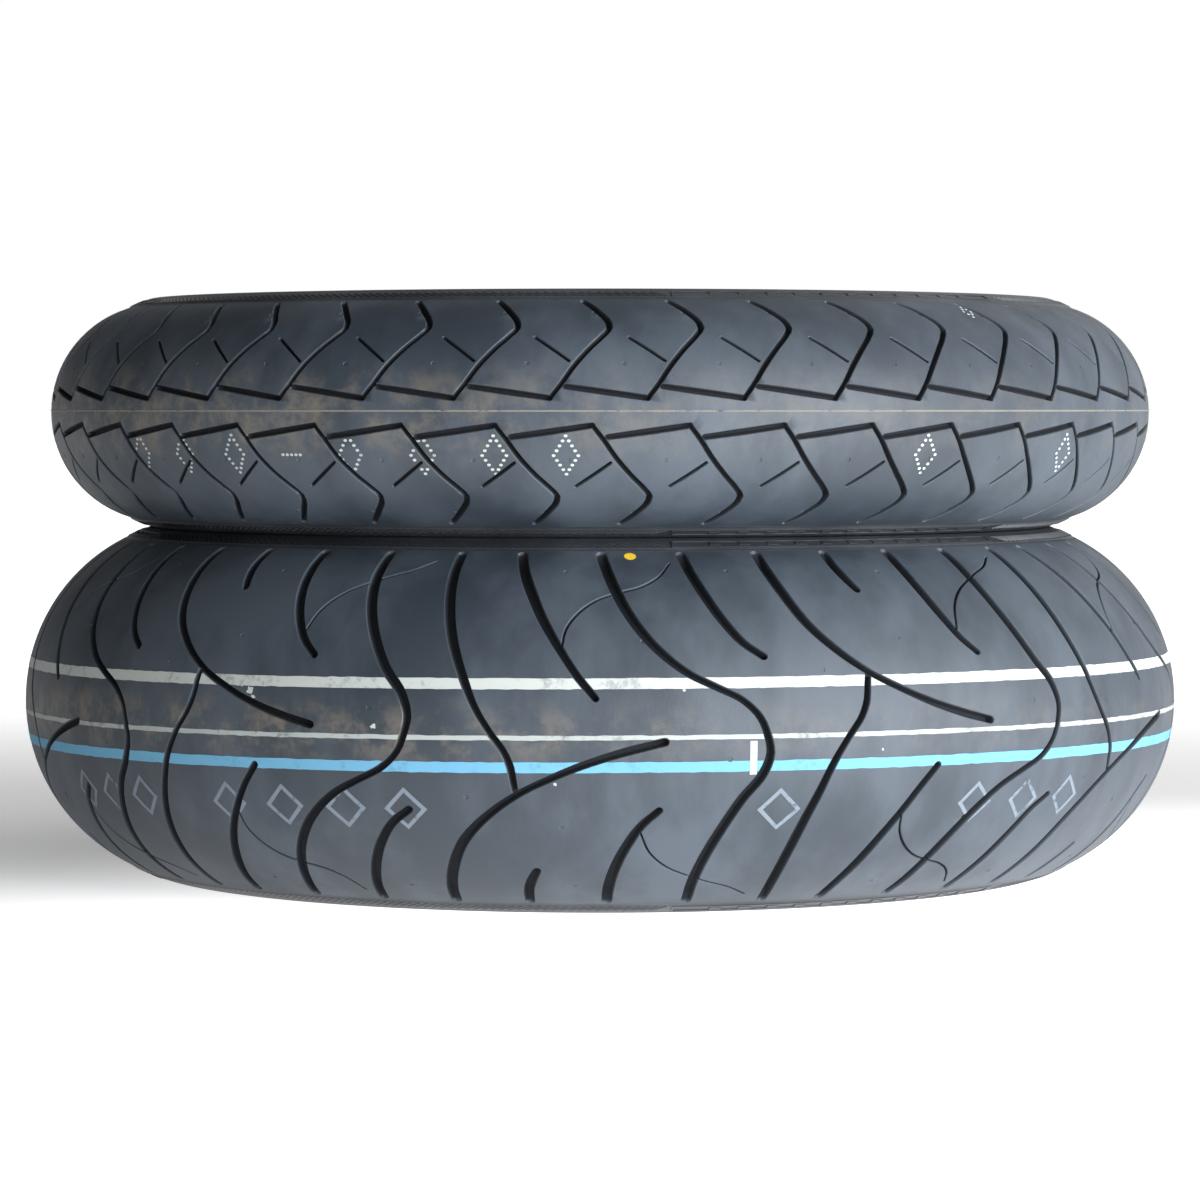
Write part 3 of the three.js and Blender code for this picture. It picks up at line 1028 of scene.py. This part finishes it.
def build_layers(section, materials):
    """The rings inside: base, belt, ply, liner and bead fillers."""
    tire, centre = section.tire, section.centre
    cavity = np.array([section.crown_radius - section.arc_radius, centre])

    def outline(part, step):
        return smooth_outline(section_outline(f"{tire}_{part}"), step, 0.3 * MM)

    def cords_across(turn, ring):
        """Sunken lines between the belt's cords, which run round the tire."""
        faces_out = (outward(ring) * (ring - cavity)).sum(axis=1) > 0
        return -BELT_CORD_DEPTH * (faces_out & (np.arange(len(ring)) % 2 == 1)) + 0 * turn

    def cords_round(turn, ring):
        """Sunken lines between the ply's cords, which run from bead to bead."""
        odd = np.round(turn / (2 * math.pi) * CORD_SEGMENTS) % 2
        return -PLY_CORD_DEPTH * odd + 0 * ring[:, 0]

    def bladder_lines(turn, ring):
        """Fine slanting ridges that the curing bladder leaves on the inside."""
        faces_in = (outward(ring) * (ring - cavity)).sum(axis=1) < 0
        phase = BLADDER_LINES * turn + (ring[:, 1] - centre) * BLADDER_SLANT
        return BLADDER_LINE_HEIGHT * faces_in * np.clip(np.cos(phase), 0, 1)

    build_ring(
        f"{tire}_tread_base", materials["tread_base"], outline("tread_base", 5 * MM)
    )
    build_ring(
        f"{tire}_spiral_belt", materials["spiral_belt"],
        outline("spiral_belt", 1.4 * MM), 144, cords_across,
    )
    build_ring(
        f"{tire}_carcass_ply", materials["carcass_ply"],
        outline("carcass_ply", 6 * MM), CORD_SEGMENTS, cords_round,
    )
    build_ring(
        f"{tire}_inner_liner", materials["inner_liner"],
        outline("inner_liner", 4 * MM), 4 * BLADDER_LINES, bladder_lines,
    )
    for side in SIDES:
        part = f"bead_filler_{side}"
        build_ring(
            f"{tire}_{part}", materials["bead_filler"], outline(part, 1.5 * MM)
        )


# --- Materials ---


class Shader:
    """A short way to write the nodes of a material, or of the world."""

    def __init__(self, name, owners="materials", output="OutputMaterial", surface="BsdfPrincipled"):
        self.owner = getattr(bpy.data, owners).new(name)
        self.owner.use_nodes = True
        self.tree = self.owner.node_tree
        self.tree.nodes.clear()
        self.surface = self.node(surface)
        self.wire(self.node(output).inputs[0], self.surface.outputs[0])

    def node(self, kind):
        return self.tree.nodes.new(f"ShaderNode{kind}")

    def wire(self, socket, value):
        if isinstance(value, bpy.types.NodeSocket):
            self.tree.links.new(value, socket)
        else:
            socket.default_value = value

    def set(self, name, value):
        self.wire(self.surface.inputs[name], value)

    def math(self, operation, *values):
        node = self.node("Math")
        node.operation = operation
        for i, value in enumerate(values):
            self.wire(node.inputs[i], value)
        return node.outputs[0]

    def vector_math(self, operation, vector, other):
        node = self.node("VectorMath")
        node.operation = operation
        self.wire(node.inputs[0], vector)
        self.wire(node.inputs[1], other)
        return node.outputs["Value"]

    def attribute(self, name):
        node = self.node("Attribute")
        node.attribute_name = name
        return node.outputs["Fac"]

    def axis(self, name):
        node = self.node("SeparateXYZ")
        self.wire(node.inputs[0], self.place())
        return node.outputs[name]

    def place(self):
        return self.node("TexCoord").outputs["Object"]

    def noise(self, scale, detail=3.0, roughness=0.55, stretch=(1, 1, 1)):
        mapping = self.node("Mapping")
        self.wire(mapping.inputs["Vector"], self.place())
        self.wire(mapping.inputs["Scale"], stretch)
        node = self.node("TexNoise")
        self.wire(node.inputs["Vector"], mapping.outputs[0])
        self.wire(node.inputs["Scale"], scale)
        self.wire(node.inputs["Detail"], detail)
        self.wire(node.inputs["Roughness"], roughness)
        return node.outputs["Fac"]

    def ramp(self, value, low, high, to_low=0.0, to_high=1.0):
        node = self.node("MapRange")
        node.interpolation_type = "SMOOTHSTEP"
        self.wire(node.inputs["Value"], value)
        self.wire(node.inputs["From Min"], low)
        self.wire(node.inputs["From Max"], high)
        self.wire(node.inputs["To Min"], to_low)
        self.wire(node.inputs["To Max"], to_high)
        return node.outputs["Result"]

    def mix(self, share, a, b):
        node = self.node("Mix")
        node.data_type = "RGBA"
        self.wire(node.inputs[0], share)
        self.wire(node.inputs[6], self.colour(a))
        self.wire(node.inputs[7], self.colour(b))
        return node.outputs[2]

    def colour(self, value):
        if isinstance(value, tuple) and len(value) == 3:
            return (*value, 1.0)
        return value

    def bump(self, height, strength, distance):
        node = self.node("Bump")
        self.wire(node.inputs["Strength"], strength)
        self.wire(node.inputs["Distance"], distance)
        self.wire(node.inputs["Height"], height)
        self.set("Normal", node.outputs[0])


RUBBER_DARK = (0.020, 0.029, 0.040)
RUBBER_LIGHT = (0.048, 0.062, 0.080)
# painted shade: the near-black colour that the grooves are darkened to
GROOVE_SHADE = (0.005, 0.007, 0.011)
DUST = (0.16, 0.135, 0.105)


def rubber_finish(shader, colour, roughness=0.5, grain=0.25):
    shader.set("Base Color", colour)
    shader.set("Roughness", roughness)
    shader.set("Specular IOR Level", 0.5)
    shader.bump(shader.noise(900, 2.0), grain, 0.0004)


def tread_material(tire):
    shader = Shader(f"{tire} tread rubber")
    groove = shader.attribute("groove")
    across = shader.attribute("across")
    cloud = shader.noise(7, 3.0, 0.55)
    streak = shader.noise(26, 4.0, 0.6, stretch=(1, 1, 0.3))
    tone = shader.ramp(shader.math("ADD", cloud, streak), 0.8, 1.25)
    colour = shader.mix(tone, RUBBER_DARK, RUBBER_LIGHT)

    reach = 22 if tire == "rear" else 34
    near_crown = shader.ramp(shader.math("ABSOLUTE", across), reach, 2)
    dirty_side = shader.ramp(shader.axis("X"), 0.12, -0.2, 0.25, 1.0)
    grit = shader.ramp(shader.noise(55, 5.0, 0.7), 0.42, 0.68)
    dust = shader.math("MULTIPLY", shader.math("MULTIPLY", near_crown, grit), dirty_side)
    colour = shader.mix(shader.math("MULTIPLY", dust, 0.7), colour, DUST)

    # Painted shade in the grooves: walls and floors turn near black with depth, though they are the
    # same rubber
    colour = shader.mix(shader.ramp(groove, 0.04, 0.4), colour, GROOVE_SHADE)
    worn = shader.ramp(cloud, 0.3, 0.7, 0.52, 0.64)
    matt = shader.ramp(groove, 0.04, 0.4, 0.0, 0.95)
    rubber_finish(shader, colour, shader.math("MAXIMUM", worn, matt))
    return shader.owner


def paint_material(name, colour, worn, wear=0.16):
    """Thin paint that the rubber shows through where it is worn."""
    shader = Shader(name)
    fine = shader.noise(260, 3.0, 0.7)
    patch = shader.noise(38, 4.0, 0.65)
    rubbed = shader.ramp(shader.math("ADD", fine, patch), 1.04, 1.3, 0.0, wear * 2)
    shader.set("Base Color", shader.mix(rubbed, colour, worn))
    shader.set("Roughness", 0.75)
    shader.set("Specular IOR Level", 0.2)
    shader.bump(fine, 0.3, 0.0002)
    return shader.owner


def plain_rubber(name, dark, light, roughness=0.5, grain=0.25):
    shader = Shader(name)
    colour = shader.mix(shader.ramp(shader.noise(14, 4.0, 0.6), 0.35, 0.7), dark, light)
    rubber_finish(shader, colour, roughness, grain)
    return shader.owner


def wire_material(name, colour):
    shader = Shader(name)
    tone = shader.ramp(shader.noise(120, 3.0), 0.3, 0.7)
    dark = tuple(c * 0.6 for c in colour)
    shader.set("Base Color", shader.mix(tone, dark, colour))
    shader.set("Metallic", 0.9)
    shader.set("Roughness", 0.35)
    return shader.owner


# --- Stage ---


def add_light(name, place, target, size, power, colour=(1, 1, 1)):
    data = bpy.data.lights.new(name, "AREA")
    data.shape = "RECTANGLE"
    data.size, data.size_y = size
    data.energy = power
    data.color = colour
    light = in_scene(name, data)
    light.location = place
    light.rotation_euler = (Vector(target) - Vector(place)).to_track_quat("-Z", "Y").to_euler()


FLOOR_REACH = 30  # m
POOL_PLACE = (0.43, -0.6, 0)  # in front of the tires, on the right


def add_floor():
    """A pale floor. It gives off a soft light of its own, strongest round POOL_PLACE."""
    mesh = bpy.data.meshes.new("floor")
    corners = [(*corner, 0) for corner in rectangle((0, 0), 2 * FLOOR_REACH, 2 * FLOOR_REACH)]
    mesh.from_pydata(corners, [], [(0, 1, 2, 3)])
    shader = Shader("floor")
    shader.set("Base Color", (0.86, 0.86, 0.86, 1))
    shader.set("Roughness", 0.9)
    shader.set("Emission Color", (1, 1, 1, 1))
    from_pool = shader.vector_math("DISTANCE", shader.place(), POOL_PLACE)
    from_middle = shader.vector_math("DISTANCE", shader.place(), (0, 0, 0))
    pool = shader.ramp(from_pool, 0.3, 1.1, 1.8, 0.2)
    backdrop = shader.ramp(from_middle, 0.5, 2.0, 0.2, 0.85)
    shader.set("Emission Strength", shader.math("MAXIMUM", pool, backdrop))
    mesh.materials.append(shader.owner)
    in_scene("floor", mesh)


def add_world():
    """A backdrop that looks plain white. Its light is dimmer from the left and from overhead."""
    sky = Shader("studio", "worlds", "OutputWorld", "Background")
    direction = sky.node("TexCoord").outputs["Generated"]
    light = sky.ramp(sky.vector_math("DOT_PRODUCT", direction, (1, 0, -0.7)), -0.75, 0.0, 0.1, 1.0)
    seen = sky.node("LightPath").outputs["Is Camera Ray"]
    sky.set("Color", (1, 1, 1, 1))
    sky.set("Strength", sky.math("MAXIMUM", light, seen))
    bpy.context.scene.world = sky.owner


def add_stage():
    add_floor()
    add_world()
    bpy.context.scene.view_settings.view_transform = "Standard"
    add_light("key", (2.1, -1.9, 0.5), (0, 0, 0.1), (2.2, 1.1), 115)
    add_light("low", (0.95, -1.75, 0.12), (0.1, 0, 0.06), (0.9, 0.3), 15, (0.8, 0.9, 1.0))


# --- Build ---

add_camera()
add_stage()

rubber = {
    "sidewall": plain_rubber("sidewall rubber", (0.020, 0.023, 0.028), (0.038, 0.042, 0.050)),
    "rim_strip": plain_rubber("rim strip rubber", (0.016, 0.017, 0.019), (0.028, 0.029, 0.033)),
    "bead_filler": plain_rubber("filler rubber", (0.020, 0.017, 0.015), (0.036, 0.031, 0.028)),
    "tread_base": plain_rubber("base rubber", (0.014, 0.014, 0.015), (0.028, 0.028, 0.031)),
    "inner_liner": plain_rubber("liner rubber", (0.012, 0.012, 0.013), (0.026, 0.026, 0.029), 0.42),
    "carcass_ply": plain_rubber("ply cord", (0.05, 0.042, 0.032), (0.11, 0.095, 0.075), 0.75),
    "spiral_belt": plain_rubber("belt cord", (0.12, 0.11, 0.09), (0.25, 0.23, 0.20), 0.6),
}
bead_wire = wire_material("bead wire", (0.55, 0.42, 0.24))
paints = {
    "white paint": paint_material("white paint", (0.41, 0.44, 0.42), (0.12, 0.13, 0.14), 0.24),
    "thin paint": paint_material("thin paint", (0.32, 0.35, 0.34), (0.10, 0.11, 0.12), 0.34),
    "blue paint": paint_material("blue paint", (0.12, 0.31, 0.46), (0.06, 0.12, 0.17)),
    "yellow paint": paint_material("yellow paint", (0.75, 0.50, 0.03), (0.3, 0.22, 0.06), 0.15),
    "faint paint": paint_material("faint paint", (0.15, 0.18, 0.215), RUBBER_LIGHT, 0.5),
    "mould line": paint_material("mould line", (0.20, 0.19, 0.17), RUBBER_LIGHT, 0.5),
}

for tire in TIRES:
    section = Section(tire)
    grooves = pattern_grooves(section)
    build_tread(section, grooves, tread_material(tire))
    build_layers(section, rubber)
    for side in SIDES:
        build_sidewall(section, side, rubber["sidewall"])
        build_rim_strip(section, side, rubber["rim_strip"])
        build_core(section, side, bead_wire)
    if tire == "rear":
        paint_rear(section, grooves, paints)
    else:
        paint_front(section, grooves, paints)
        build_mould_line(section, paints["mould line"])
